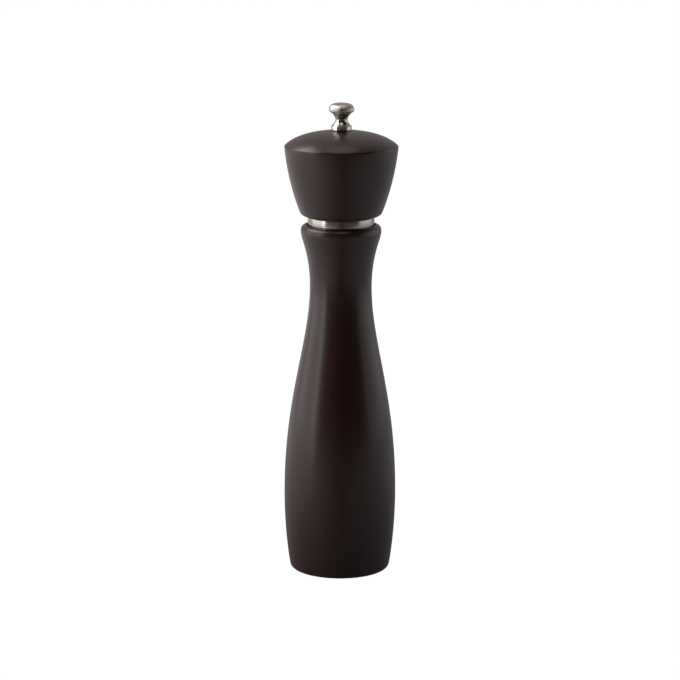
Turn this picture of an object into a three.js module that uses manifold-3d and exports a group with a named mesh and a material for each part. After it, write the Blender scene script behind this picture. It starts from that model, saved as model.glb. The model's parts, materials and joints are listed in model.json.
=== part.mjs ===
// A wooden pepper mill, ten inches tall, as the separate pieces it comes apart into.
// Millimetres, +Z up. The origin is on the turning axis, at the level the foot stands on.
//
// The turned body holds a metal collar ring at its top and the grinding mechanism at its bottom.
// The head turns the square shaft through a drive plate. The knob on top is a nut on the shaft's
// threaded end: it pulls the shaft and the rotor burr up into the stator burr for a finer grind.
import * as THREE from "three";
import { mergeVertices } from "three/addons/utils/BufferGeometryUtils.js";
import Module from "manifold-3d";

const wasm = await Module();
wasm.setup();

// ---------------------------------------------------------------- driving dimensions

// Clearances: between pieces that touch, and beside pieces that turn.
const TOUCH_GAP = 0.3;
const RUNNING_GAP = 0.25;

// Body: foot, belly, neck and lip.
const FOOT_RADIUS = 24.46;
const FOOT_ROUNDING = 2.6;
const BELLY_RADIUS = 30.16;
const BELLY_Z = 42;
const NECK_RADIUS = 16.57;
const NECK_Z = 155.5;
const LIP_RADIUS = 21.5;
const LIP_TOP_Z = 189.2;
const LIP_ROUNDING = 3;
const SPIGOT_RADIUS = 16.5;
const SPIGOT_TOP_Z = 192.4;
const GROOVE_RADIUS = 18.4;
const GROOVE_Z = 187.2;
const CHAMBER_RADIUS = 12.5;

// Handles that shape the body's outline, as distance from the axis and height.
const FOOT_HANDLE = [27.7, 5.2];
const BELLY_LOW_HANDLE = [BELLY_RADIUS, 22];
const BELLY_HIGH_HANDLE = [BELLY_RADIUS, 96];
const NECK_LOW_HANDLE = [NECK_RADIUS, 124.8];
const NECK_HIGH_HANDLE = [NECK_RADIUS, 174.3];
const LIP_HANDLE = [21.9, 181.8];

// Collar ring, pressed over the body's spigot.
const RING_RADIUS = 17.75;
const RING_WALL = 0.9;
const RING_TOP_Z = 193.6;
const RING_HOLE_RADIUS = 12.7;
const RING_ROUNDING = 0.4;

// Head: tenon, flared side, rounded rim and shallow dome.
const HEAD_BOTTOM_Z = 194;
const HEAD_BOTTOM_ROUNDING = 3.3;
const HEAD_BOTTOM_RADIUS = 19.03;
const HEAD_BOTTOM_END_ANGLE = -21.4;
const FLARE_LOW_HANDLE = [27.5, 210];
const FLARE_HIGH_HANDLE = [29.65, 223.5];
const RIM_RADIUS = 30.3;
const RIM_ROUNDING = 1.2;
const RIM_CENTRE_Z = 230.7;
const RIM_START_ANGLE = -5;
const RIM_END_ANGLE = 48;
const DOME_RIM_HANDLE_LENGTH = 8;
const DOME_TOP_HANDLE = [14, 238.65];
const KNOB_SEAT_RADIUS = 6.2;
const KNOB_SEAT_Z = 239.11;
const TENON_RADIUS = 12;
const TENON_BOTTOM_Z = 176;
const HEAD_BORE_RADIUS = 4.7;
const HEAD_TOP_BORE_RADIUS = 3.2;
const HEAD_BORE_STEP_Z = 232;

// Knob.
const KNOB_TOP_Z = 254;
const KNOB_COLLAR_RADIUS = 5.45;
const KNOB_COLLAR_TOP_Z = 241.8;
const KNOB_CONE_START = [4.75, 242.45];
const KNOB_CONE_HANDLE = [3.9, 243.4];
const KNOB_WAIST_RADIUS = 3.3;
const KNOB_WAIST_Z = 245.2;
const KNOB_WAIST_HANDLE_Z = 244.2;
const KNOB_CUP_LOW_HANDLE = [3.5, 246.9];
const KNOB_CUP_HIGH_HANDLE = [4.5, 248];
const KNOB_RIM_BOTTOM = [5.35, 248.95];
const KNOB_RIM_LOW_HANDLE = [7.35, 249.15];
const KNOB_RIM_HIGH_HANDLE = [7.6, 252.5];
const KNOB_RIM_TOP = [4.2, 253.65];
const KNOB_TOP_RADIUS = 2.2;
const KNOB_BORE_RADIUS = 2.7;
const KNOB_BORE_TOP_Z = 250.6;

// Square shaft, with a round threaded end on top and a grooved pin below.
const SHAFT_WIDTH = 6;
const SHAFT_CHAMFER = 0.5;
const SHAFT_SQUARE_BOTTOM_Z = 9.2;
const SHAFT_SQUARE_TOP_Z = 228;
const SHAFT_TOP_Z = 247.3;
const SHAFT_BOTTOM_Z = 5;
const THREAD_RADIUS = 2.4;
const PIN_RADIUS = 2.7;
const PIN_GROOVE_RADIUS = 2.1;
const SQUARE_HOLE = SHAFT_WIDTH + 2 * RUNNING_GAP;

// Drive plate under the head's tenon.
const DRIVE_PLATE_RADIUS = 11;
const DRIVE_PLATE_THICKNESS = 1.5;
const DRIVE_SCREW_RING = 7.9;

// Bottom recess and the bore that holds the grinding mechanism.
const RECESS_RADIUS = 22;
const RECESS_Z = 10.9;
const MECHANISM_BORE_RADIUS = 16.6;
const MECHANISM_BORE_TOP_Z = 38.5;

// Mounting plate.
const PLATE_RADIUS = 21.6;
const PLATE_HOLE_RADIUS = 13.6;
const PLATE_THICKNESS = 1.3;
const PLATE_SCREW_RING = 19.2;

// Wood screws: head, shank and length.
const SCREW_HEAD_RADIUS = 2.3;
const SCREW_HEAD_HEIGHT = 1.4;
const SCREW_CROWN_RADIUS = 1.43;
const SCREW_CROWN_EDGE = 0.63;
const SCREW_SLOT_WIDTH = 0.6;
const SCREW_SLOT_DEPTH = 0.63;
const SCREW_SHANK_RADIUS = 1.2;
const SCREW_LENGTH = 9;
const SCREW_POINT_LENGTH = 2;
const SCREW_HOLE_RADIUS = 1.5;
const SCREW_COUNT = 3;

// Burr housing: a cup with a three-armed bridge.
const HOUSING_RADIUS = 16.2;
const HOUSING_WALL = 1;
const HUB_RADIUS = 7.6;
const HUB_BOTTOM_Z = 34;
const ARM_WIDTH = 3.2;
const ARM_HEIGHT = 2.4;

// Shaft bush in the bridge's hub.
const BUSH_RADIUS = 5.3;
const BUSH_FLANGE_RADIUS = 6.4;
const BUSH_FLANGE_THICKNESS = 1.2;

// Burrs: a toothed cone inside a toothed ring, at their widest setting.
const ROTOR_BOTTOM_Z = 9;
const ROTOR_TOP_Z = 23;
const ROTOR_BOTTOM_RADIUS = 12;
const ROTOR_TOP_RADIUS = 6.5;
const ROTOR_TEETH = 14;
const ROTOR_TOOTH_DEPTH = 1.3;
const BURR_GAP = 1.3;
const STATOR_RADIUS = 14.9;
const STATOR_TOP_Z = 23.4;
const STATOR_THROAT_Z = 17;
const STATOR_MOUTH_RADIUS = 13.9;
const STATOR_TEETH = 18;
const STATOR_TOOTH_DEPTH = 0.9;
const TOOTH_LEAN = 0.6;
const TOOTH_TWIST = THREE.MathUtils.degToRad(50);

// Spring between the rotor and the bush.
const SPRING_WIRE_RADIUS = 0.5;
const SPRING_COIL_RADIUS = 5.1;
const SPRING_TURNS = 5;
const SPRING_STEPS_PER_TURN = 14;

// Washer and clip under the rotor.
const WASHER_RADIUS = 6;
const WASHER_HOLE_RADIUS = 3;
const WASHER_THICKNESS = 0.75;
const CLIP_RADIUS = 4.8;
const CLIP_THICKNESS = 0.7;
const CLIP_CLEARANCE = 0.1;
const CLIP_MOUTH = THREE.MathUtils.degToRad(70);

// How far the stator's funnel tool runs past its top, where the wall is thin.
const STATOR_PAST = 0.2;

// Facets around a turned piece, by its size.
const LARGE = 36;
const MEDIUM = 24;
const PIN = 16;
const SMALL = 12;

// How far a cutting tool runs past the face that it cuts, or a joined piece into its neighbour.
const PAST = 1;

// ---------------------------------------------------------------- outlines and solids

// A point of a turned outline: its distance from the axis, and its height.
const at = (radius, z) => new THREE.Vector2(radius, z);
const point = ([radius, z]) => at(radius, z);

// An arc about a centre, between two angles in degrees.
function arc(radius, z, rounding, from, to, steps) {
  return Array.from({ length: steps + 1 }, (_, i) => {
    const angle = THREE.MathUtils.degToRad(from + ((to - from) * i) / steps);
    return at(radius + rounding * Math.cos(angle), z + rounding * Math.sin(angle));
  });
}

// A smooth stretch between two points, drawn by two handles.
function sweep(start, startHandle, endHandle, end, steps) {
  return new THREE.CubicBezierCurve(...[start, startHandle, endHandle, end].map(point)).getPoints(steps);
}

// A closed outline turned about the Z axis.
function turned(outline, facets) {
  const points = outline.filter((p, i) => i === 0 || p.distanceTo(outline[i - 1]) > 1e-6);
  return new THREE.LatheGeometry(points, facets).rotateX(Math.PI / 2);
}

function ring(inner, outer, bottom, top, facets) {
  return turned(
    [at(inner, bottom), at(outer, bottom), at(outer, top), at(inner, top), at(inner, bottom)],
    facets,
  );
}

function rod(radius, bottom, top, facets) {
  return new THREE.CylinderGeometry(radius, radius, top - bottom, facets)
    .rotateX(Math.PI / 2)
    .translate(0, 0, (bottom + top) / 2);
}

function block(width, depth, bottom, top) {
  return new THREE.BoxGeometry(width, depth, top - bottom).translate(0, 0, (bottom + top) / 2);
}

// A geometry as a solid that can be joined and cut.
function solid(geometry) {
  const bare = new THREE.BufferGeometry().setAttribute("position", geometry.attributes.position);
  if (geometry.index) bare.setIndex(geometry.index);
  const merged = mergeVertices(bare, 1e-4);
  return new wasm.Manifold(
    new wasm.Mesh({
      numProp: 3,
      vertProperties: new Float32Array(merged.attributes.position.array),
      triVerts: new Uint32Array(merged.index.array),
    }),
  );
}

function geometryOf(made) {
  const mesh = made.getMesh();
  return new THREE.BufferGeometry()
    .setAttribute("position", new THREE.BufferAttribute(mesh.vertProperties, 3))
    .setIndex(new THREE.BufferAttribute(mesh.triVerts, 1))
    .toNonIndexed();
}

const joined = (...pieces) => pieces.map(solid).reduce((sum, piece) => sum.add(piece));

function cut(geometry, ...tools) {
  return geometryOf(tools.reduce((left, tool) => left.subtract(solid(tool)), solid(geometry)));
}

// The screws' places around a circle.
function screwPlaces(circleRadius) {
  return Array.from({ length: SCREW_COUNT }, (_, i) => {
    const angle = (2 * Math.PI * (i + 0.5)) / SCREW_COUNT;
    return [circleRadius * Math.cos(angle), circleRadius * Math.sin(angle)];
  });
}

function screwHoles(circleRadius, bottom, top) {
  return screwPlaces(circleRadius).map(([x, y]) =>
    rod(SCREW_HOLE_RADIUS, bottom, top, SMALL).translate(x, y, 0),
  );
}

// A closed solid through rings of points, each ring the same number of points about the axis.
function lofted(rings) {
  const count = rings[0].length;
  const top = rings.length - 1;
  const centre = (row) => new THREE.Vector3(0, 0, rings[row][0].z);
  const points = [...rings.flat(), centre(0), centre(top)];
  const faces = [];
  for (let i = 0; i < count; i++) {
    const next = (i + 1) % count;
    for (let row = 0; row < top; row++) {
      const low = row * count;
      const high = low + count;
      faces.push(low + i, low + next, high + next, low + i, high + next, high + i);
    }
    faces.push(points.length - 2, next, i);
    faces.push(points.length - 1, top * count + i, top * count + next);
  }
  return new THREE.BufferGeometry().setFromPoints(points).setIndex(faces);
}

// Saw-toothed rings that follow radiusAt(z) and twist as they rise. Each tooth has a crest and a root.
function toothedCone(heights, radiusAt, teeth, rootDepth, twist) {
  const span = heights.at(-1) - heights[0];
  return lofted(
    heights.map((z) =>
      Array.from({ length: 2 * teeth }, (_, i) => {
        const angle = (Math.PI * (i - (i % 2) * TOOTH_LEAN)) / teeth + (twist * (z - heights[0])) / span;
        const radius = radiusAt(z) + (i % 2 ? rootDepth : 0);
        return new THREE.Vector3(radius * Math.cos(angle), radius * Math.sin(angle), z);
      }),
    ),
  );
}

const steps = (from, to, count) =>
  Array.from({ length: count + 1 }, (_, i) => from + ((to - from) * i) / count);

// ---------------------------------------------------------------- wooden pieces

function body() {
  const foot = arc(FOOT_RADIUS, FOOT_ROUNDING, FOOT_ROUNDING, -90, -12, 3);
  const footEnd = foot.at(-1).toArray();
  const belly = [BELLY_RADIUS, BELLY_Z];
  const neck = [NECK_RADIUS, NECK_Z];
  const lip = [LIP_RADIUS, LIP_TOP_Z - LIP_ROUNDING];
  const outline = [
    at(RECESS_RADIUS, 0),
    ...foot,
    ...sweep(footEnd, FOOT_HANDLE, BELLY_LOW_HANDLE, belly, 5),
    ...sweep(belly, BELLY_HIGH_HANDLE, NECK_LOW_HANDLE, neck, 10),
    ...sweep(neck, NECK_HIGH_HANDLE, LIP_HANDLE, lip, 7),
    ...arc(LIP_RADIUS - LIP_ROUNDING, LIP_TOP_Z - LIP_ROUNDING, LIP_ROUNDING, 0, 90, 3),
    at(GROOVE_RADIUS, LIP_TOP_Z),
    at(GROOVE_RADIUS, GROOVE_Z),
    at(SPIGOT_RADIUS, GROOVE_Z),
    at(SPIGOT_RADIUS, SPIGOT_TOP_Z),
    at(CHAMBER_RADIUS, SPIGOT_TOP_Z),
    at(CHAMBER_RADIUS, MECHANISM_BORE_TOP_Z),
    at(MECHANISM_BORE_RADIUS, MECHANISM_BORE_TOP_Z),
    at(MECHANISM_BORE_RADIUS, RECESS_Z),
    at(RECESS_RADIUS, RECESS_Z),
    at(RECESS_RADIUS, 0),
  ];
  const holes = screwHoles(PLATE_SCREW_RING, RECESS_Z - PAST, RECESS_Z + SCREW_LENGTH);
  return cut(turned(outline, LARGE), ...holes);
}

function head() {
  const rimCentreRadius = RIM_RADIUS - RIM_ROUNDING;
  const bottomCentreZ = HEAD_BOTTOM_Z + HEAD_BOTTOM_ROUNDING;
  const bottom = arc(
    HEAD_BOTTOM_RADIUS,
    bottomCentreZ,
    HEAD_BOTTOM_ROUNDING,
    -90,
    HEAD_BOTTOM_END_ANGLE,
    3,
  );
  const rim = arc(rimCentreRadius, RIM_CENTRE_Z, RIM_ROUNDING, RIM_START_ANGLE, RIM_END_ANGLE, 4);
  const bottomEnd = bottom.at(-1).toArray();
  const rimEnd = rim.at(-1).toArray();
  const rimAngle = THREE.MathUtils.degToRad(RIM_END_ANGLE);
  const domeRimHandle = [
    rimEnd[0] - DOME_RIM_HANDLE_LENGTH * Math.sin(rimAngle),
    rimEnd[1] + DOME_RIM_HANDLE_LENGTH * Math.cos(rimAngle),
  ];
  const knobSeat = [KNOB_SEAT_RADIUS, KNOB_SEAT_Z];
  const outline = [
    at(HEAD_BORE_RADIUS, TENON_BOTTOM_Z),
    at(TENON_RADIUS, TENON_BOTTOM_Z),
    at(TENON_RADIUS, HEAD_BOTTOM_Z),
    ...bottom,
    ...sweep(bottomEnd, FLARE_LOW_HANDLE, FLARE_HIGH_HANDLE, rim[0].toArray(), 6),
    ...rim,
    ...sweep(rimEnd, domeRimHandle, DOME_TOP_HANDLE, knobSeat, 6).slice(1),
    at(HEAD_TOP_BORE_RADIUS, KNOB_SEAT_Z),
    at(HEAD_TOP_BORE_RADIUS, HEAD_BORE_STEP_Z),
    at(HEAD_BORE_RADIUS, HEAD_BORE_STEP_Z),
    at(HEAD_BORE_RADIUS, TENON_BOTTOM_Z),
  ];
  const holes = screwHoles(DRIVE_SCREW_RING, TENON_BOTTOM_Z - PAST, TENON_BOTTOM_Z + SCREW_LENGTH);
  return cut(turned(outline, LARGE), ...holes);
}

// ---------------------------------------------------------------- top fittings

function collarRing() {
  const inner = RING_RADIUS - RING_WALL;
  const flangeZ = RING_TOP_Z - RING_WALL;
  const bottom = GROOVE_Z + TOUCH_GAP;
  return turned(
    [
      at(inner, bottom),
      at(RING_RADIUS, bottom),
      ...arc(RING_RADIUS - RING_ROUNDING, RING_TOP_Z - RING_ROUNDING, RING_ROUNDING, 0, 90, 2),
      at(RING_HOLE_RADIUS, RING_TOP_Z),
      at(RING_HOLE_RADIUS, flangeZ),
      at(inner, flangeZ),
      at(inner, bottom),
    ],
    LARGE,
  );
}

function knob() {
  const seatZ = KNOB_SEAT_Z + TOUCH_GAP;
  const waist = [KNOB_WAIST_RADIUS, KNOB_WAIST_Z];
  const waistHandle = [KNOB_WAIST_RADIUS, KNOB_WAIST_HANDLE_Z];
  return turned(
    [
      at(0, KNOB_BORE_TOP_Z),
      at(KNOB_BORE_RADIUS, KNOB_BORE_TOP_Z),
      at(KNOB_BORE_RADIUS, seatZ),
      at(KNOB_COLLAR_RADIUS, seatZ),
      at(KNOB_COLLAR_RADIUS, KNOB_COLLAR_TOP_Z),
      ...sweep(KNOB_CONE_START, KNOB_CONE_HANDLE, waistHandle, waist, 4),
      ...sweep(waist, KNOB_CUP_LOW_HANDLE, KNOB_CUP_HIGH_HANDLE, KNOB_RIM_BOTTOM, 4),
      ...sweep(KNOB_RIM_BOTTOM, KNOB_RIM_LOW_HANDLE, KNOB_RIM_HIGH_HANDLE, KNOB_RIM_TOP, 6),
      at(KNOB_TOP_RADIUS, KNOB_TOP_Z),
      at(0, KNOB_TOP_Z),
    ],
    MEDIUM,
  );
}

// ---------------------------------------------------------------- shaft and drive plate

function shaft() {
  const half = SHAFT_WIDTH / 2;
  const flat = half - SHAFT_CHAMFER;
  const section = new THREE.Shape(
    [0, 1, 2, 3].flatMap((corner) =>
      [at(half, -flat), at(half, flat)].map((p) => p.rotateAround(at(0, 0), (corner * Math.PI) / 2)),
    ),
  );
  const square = new THREE.ExtrudeGeometry(section, {
    depth: SHAFT_SQUARE_TOP_Z - SHAFT_SQUARE_BOTTOM_Z,
    bevelEnabled: false,
  }).translate(0, 0, SHAFT_SQUARE_BOTTOM_Z);
  const chamferZ = SHAFT_TOP_Z - SHAFT_CHAMFER;
  const threadedEnd = turned(
    [
      at(0, SHAFT_SQUARE_TOP_Z - PAST),
      at(THREAD_RADIUS, SHAFT_SQUARE_TOP_Z - PAST),
      at(THREAD_RADIUS, chamferZ),
      at(THREAD_RADIUS - SHAFT_CHAMFER, SHAFT_TOP_Z),
      at(0, SHAFT_TOP_Z),
    ],
    PIN,
  );
  const grooveTop = clipBottom() + CLIP_THICKNESS + CLIP_CLEARANCE;
  const grooveBottom = clipBottom() - CLIP_CLEARANCE;
  const pin = turned(
    [
      at(0, SHAFT_BOTTOM_Z),
      at(PIN_RADIUS - SHAFT_CHAMFER, SHAFT_BOTTOM_Z),
      at(PIN_RADIUS, SHAFT_BOTTOM_Z + SHAFT_CHAMFER),
      at(PIN_RADIUS, grooveBottom),
      at(PIN_GROOVE_RADIUS, grooveBottom),
      at(PIN_GROOVE_RADIUS, grooveTop),
      at(PIN_RADIUS, grooveTop),
      at(PIN_RADIUS, SHAFT_SQUARE_BOTTOM_Z + PAST),
      at(0, SHAFT_SQUARE_BOTTOM_Z + PAST),
    ],
    PIN,
  );
  return geometryOf(joined(square, threadedEnd, pin));
}

function drivePlate() {
  const top = TENON_BOTTOM_Z - TOUCH_GAP;
  const bottom = top - DRIVE_PLATE_THICKNESS;
  return cut(
    rod(DRIVE_PLATE_RADIUS, bottom, top, MEDIUM),
    block(SQUARE_HOLE, SQUARE_HOLE, bottom - PAST, top + PAST),
    ...screwHoles(DRIVE_SCREW_RING, bottom - PAST, top + PAST),
  );
}

// A slotted pan-head wood screw, point up, with the underside of its head at z = 0.
function screw() {
  const shank = SCREW_SHANK_RADIUS;
  const slotLength = 2 * (SCREW_HEAD_RADIUS + PAST);
  const slotEnd = SCREW_SLOT_DEPTH - SCREW_HEAD_HEIGHT;
  const slot = block(slotLength, SCREW_SLOT_WIDTH, -SCREW_HEAD_HEIGHT - PAST, slotEnd);
  const outline = [
    at(0, -SCREW_HEAD_HEIGHT),
    at(SCREW_CROWN_RADIUS, -SCREW_HEAD_HEIGHT),
    at(SCREW_HEAD_RADIUS, -SCREW_CROWN_EDGE),
    at(SCREW_HEAD_RADIUS, 0),
    at(shank, 0),
    at(shank, SCREW_LENGTH - SCREW_POINT_LENGTH),
    at(0, SCREW_LENGTH),
  ];
  return cut(turned(outline, SMALL), slot);
}

// ---------------------------------------------------------------- grinding mechanism

const plateTop = () => RECESS_Z - TOUCH_GAP;
const rotorRadiusAt = (z) =>
  THREE.MathUtils.mapLinear(z, ROTOR_BOTTOM_Z, ROTOR_TOP_Z, ROTOR_BOTTOM_RADIUS, ROTOR_TOP_RADIUS);
const clipBottom = () => ROTOR_BOTTOM_Z - 2 * TOUCH_GAP - WASHER_THICKNESS - CLIP_THICKNESS;

function mountingPlate() {
  const top = plateTop();
  const bottom = top - PLATE_THICKNESS;
  return cut(
    ring(PLATE_HOLE_RADIUS, PLATE_RADIUS, bottom, top, LARGE),
    ...screwHoles(PLATE_SCREW_RING, bottom - PAST, top + PAST),
  );
}

function burrHousing() {
  const top = MECHANISM_BORE_TOP_Z - TOUCH_GAP;
  const inner = HOUSING_RADIUS - HOUSING_WALL;
  const hubHole = BUSH_RADIUS + RUNNING_GAP;
  const cup = ring(inner, HOUSING_RADIUS, RECESS_Z, top, LARGE);
  const hub = ring(hubHole, HUB_RADIUS, HUB_BOTTOM_Z, top, MEDIUM);
  const reach = inner + HOUSING_WALL / 2 - (hubHole + HUB_RADIUS) / 2;
  const arms = [0, 1, 2].map((i) =>
    block(reach, ARM_WIDTH, top - ARM_HEIGHT, top)
      .translate((hubHole + HUB_RADIUS + reach) / 2, 0, 0)
      .rotateZ((2 * Math.PI * i) / 3),
  );
  return geometryOf(joined(cup, hub, ...arms));
}

// The toothed throat is widest at the bottom, where it meets the rotor, and opens into a funnel on top.
function statorBurr() {
  const throatRadius = rotorRadiusAt(STATOR_THROAT_Z) + BURR_GAP;
  const tipRadiusAt = (z) =>
    z <= STATOR_THROAT_Z
      ? rotorRadiusAt(z) + BURR_GAP
      : THREE.MathUtils.mapLinear(z, STATOR_THROAT_Z, STATOR_TOP_Z, throatRadius, STATOR_MOUTH_RADIUS);
  const throatHeights = steps(RECESS_Z, STATOR_THROAT_Z, 3);
  const heights = [RECESS_Z - PAST, ...throatHeights, STATOR_TOP_Z, STATOR_TOP_Z + STATOR_PAST];
  const throat = toothedCone(heights, tipRadiusAt, STATOR_TEETH, STATOR_TOOTH_DEPTH, -TOOTH_TWIST);
  return cut(rod(STATOR_RADIUS, RECESS_Z, STATOR_TOP_Z, 2 * STATOR_TEETH), throat);
}

function rotorBurr() {
  const heights = steps(ROTOR_BOTTOM_Z, ROTOR_TOP_Z, 6);
  return cut(
    toothedCone(heights, rotorRadiusAt, ROTOR_TEETH, -ROTOR_TOOTH_DEPTH, TOOTH_TWIST),
    block(SQUARE_HOLE, SQUARE_HOLE, ROTOR_BOTTOM_Z - PAST, ROTOR_TOP_Z + PAST),
  );
}

function rotorWasher() {
  const top = ROTOR_BOTTOM_Z - TOUCH_GAP;
  return ring(WASHER_HOLE_RADIUS, WASHER_RADIUS, top - WASHER_THICKNESS, top, MEDIUM);
}

// A spring clip that snaps into the shaft's groove from the side.
function rotorClip() {
  const inner = PIN_GROOVE_RADIUS + RUNNING_GAP;
  const from = CLIP_MOUTH / 2;
  const to = 2 * Math.PI - from;
  const outline = new THREE.Shape();
  outline.absarc(0, 0, CLIP_RADIUS, from, to, false);
  outline.absarc(0, 0, inner, to, from, true);
  outline.closePath();
  return new THREE.ExtrudeGeometry(outline, {
    depth: CLIP_THICKNESS,
    bevelEnabled: false,
    curveSegments: PIN,
  }).translate(0, 0, clipBottom());
}

// A flanged bush: it turns with the shaft inside the bridge's hub, and the spring pushes on its flange.
function shaftBush() {
  const flangeTop = HUB_BOTTOM_Z - TOUCH_GAP;
  const flangeBottom = flangeTop - BUSH_FLANGE_THICKNESS;
  const top = MECHANISM_BORE_TOP_Z - 2 * TOUCH_GAP;
  const outline = [
    at(0, flangeBottom),
    at(BUSH_FLANGE_RADIUS, flangeBottom),
    at(BUSH_FLANGE_RADIUS, flangeTop),
    at(BUSH_RADIUS, flangeTop),
    at(BUSH_RADIUS, top),
    at(0, top),
  ];
  return cut(turned(outline, MEDIUM), block(SQUARE_HOLE, SQUARE_HOLE, flangeBottom - PAST, top + PAST));
}

class Helix extends THREE.Curve {
  constructor(radius, bottom, top, turns) {
    super();
    Object.assign(this, { radius, bottom, top, turns });
  }
  getPoint(t, target = new THREE.Vector3()) {
    const angle = 2 * Math.PI * this.turns * t;
    const z = THREE.MathUtils.lerp(this.bottom, this.top, t);
    return target.set(this.radius * Math.cos(angle), this.radius * Math.sin(angle), z);
  }
}

function mechanismSpring() {
  const margin = SPRING_WIRE_RADIUS + TOUCH_GAP;
  const bottom = ROTOR_TOP_Z + margin;
  const top = HUB_BOTTOM_Z - TOUCH_GAP - BUSH_FLANGE_THICKNESS - margin;
  const wire = new THREE.Shape();
  wire.absarc(0, 0, SPRING_WIRE_RADIUS, 0, 2 * Math.PI, false);
  return new THREE.ExtrudeGeometry(wire, {
    steps: SPRING_TURNS * SPRING_STEPS_PER_TURN,
    curveSegments: 3,
    bevelEnabled: false,
    extrudePath: new Helix(SPRING_COIL_RADIUS, bottom, top, SPRING_TURNS),
  });
}

// ---------------------------------------------------------------- materials and assembly

const finish = (color, roughness, metalness) =>
  new THREE.MeshStandardMaterial({ color, roughness, metalness });

const espressoWood = finish("#2e2422", 0.38, 0);
const brushedSteel = finish("#a9a39b", 0.34, 1);
const nickel = finish("#b8b0a2", 0.22, 1);
const zincSteel = finish("#a4a7a8", 0.42, 1);
const burrSteel = finish("#6c6a67", 0.45, 1);
const castAluminium = finish("#9a9c9e", 0.5, 1);
const shaftAluminium = finish("#b4b6b8", 0.32, 1);
const springSteel = finish("#8d8f92", 0.3, 1);
const acetal = finish("#e6e2d8", 0.5, 0);

const mill = new THREE.Group();

function place(name, geometry, material, x = 0, y = 0, z = 0) {
  const mesh = new THREE.Mesh(geometry, material);
  mesh.name = name;
  mesh.position.set(x, y, z);
  mill.add(mesh);
}

function placeScrews(name, circleRadius, z) {
  screwPlaces(circleRadius).forEach(([x, y], i) => {
    place(name + "_" + (i + 1), screw(), zincSteel, x, y, z);
  });
}

place("mill_body", body(), espressoWood);
place("collar_ring", collarRing(), brushedSteel);
place("mounting_plate", mountingPlate(), zincSteel);
placeScrews("mounting_screw", PLATE_SCREW_RING, plateTop() - PLATE_THICKNESS - TOUCH_GAP);
place("burr_housing", burrHousing(), castAluminium);
place("stator_burr", statorBurr(), burrSteel);

place("shaft_bush", shaftBush(), acetal);
place("mechanism_spring", mechanismSpring(), springSteel);

place("drive_shaft", shaft(), shaftAluminium);
place("rotor_burr", rotorBurr(), burrSteel);
place("rotor_washer", rotorWasher(), zincSteel);
place("rotor_clip", rotorClip(), springSteel);

place("mill_head", head(), espressoWood);
place("drive_plate", drivePlate(), zincSteel);
const driveScrewZ = TENON_BOTTOM_Z - 2 * TOUCH_GAP - DRIVE_PLATE_THICKNESS;
placeScrews("drive_plate_screw", DRIVE_SCREW_RING, driveScrewZ);

place("adjusting_knob", knob(), nickel);

export default mill;
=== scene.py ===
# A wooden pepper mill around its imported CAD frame: every CAD node is replaced by a finely turned,
# knurled, threaded or toothed piece in the same place, with its own procedural material.
# Outlines are in millimetres from the turning axis and the foot, and become metres in the mesh.
import json
import math

import bmesh
import bpy
from mathutils import Matrix, Vector


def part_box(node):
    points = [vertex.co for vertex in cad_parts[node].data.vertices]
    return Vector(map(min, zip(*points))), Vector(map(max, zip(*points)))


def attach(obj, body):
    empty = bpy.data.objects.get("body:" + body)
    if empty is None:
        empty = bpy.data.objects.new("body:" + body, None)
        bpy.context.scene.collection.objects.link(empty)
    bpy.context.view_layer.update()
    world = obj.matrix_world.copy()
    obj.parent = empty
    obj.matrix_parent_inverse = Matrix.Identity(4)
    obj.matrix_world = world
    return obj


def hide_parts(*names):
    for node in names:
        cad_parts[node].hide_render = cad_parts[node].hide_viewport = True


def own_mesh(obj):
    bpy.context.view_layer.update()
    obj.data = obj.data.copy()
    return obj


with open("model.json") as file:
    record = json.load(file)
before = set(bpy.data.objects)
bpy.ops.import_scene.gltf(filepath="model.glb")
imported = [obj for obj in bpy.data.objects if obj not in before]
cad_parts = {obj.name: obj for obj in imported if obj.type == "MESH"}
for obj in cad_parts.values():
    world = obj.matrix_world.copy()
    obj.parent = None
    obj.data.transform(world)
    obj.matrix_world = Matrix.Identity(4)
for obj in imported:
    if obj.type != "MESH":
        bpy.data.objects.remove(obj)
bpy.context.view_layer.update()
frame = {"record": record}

MM = 0.001
RECORD = frame["record"]
BODY_OF = {node: body for body, nodes in RECORD["behaviour"]["bodies"].items() for node in nodes}


def low(node):
    """Lowest corner of a CAD node, in millimetres."""
    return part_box(node)[0] / MM


def high(node):
    """Highest corner of a CAD node, in millimetres."""
    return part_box(node)[1] / MM


# ---------------------------------------------------------------- camera and light

LOOK_HEIGHT = 126.1 * MM
CAMERA_DISTANCE = 1.4
CAMERA_ELEVATION = math.radians(12)
CAMERA_ROLL = math.radians(0.25)
CAMERA_SIDE = -0.3 * MM
LENS = 137.8
SENSOR_WIDTH = 36

WORLD_FRONT = 0.008
WORLD_BACK = 0.28
WORLD_TURN = (-0.2, 0.6)
FLOOR_SIZE = 12
FLOOR_ALBEDO = 0.06
FLOOR_GLOW_SEEN = 1.0
FLOOR_GLOW_LEFT = 0.5
FLOOR_GLOW_CENTRE = 0.07
FLOOR_GLOW_RIGHT = 0.19
FLOOR_GLOW_REACH = 0.3
FLOOR_GLOW_FAR = 0.15
FLOOR_GLOW_FADE = (-0.75, -0.4)

# Name, azimuth and elevation in degrees, distance, width and height in metres, radiance.
SOFTBOXES = (
    ("left_key", -92, 8, 1.0, 0.95, 0.8, 0.9),
    ("left_edge", -62, 8, 0.95, 0.2, 0.7, 1.95),
    ("left_high", -98, 48, 1.0, 0.9, 0.6, 3.0),
    ("right_fill", 98, 10, 1.0, 1.3, 0.8, 0.4),
    ("front_top", 0, 78, 0.9, 0.4, 1.0, 0.65),
)


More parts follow.
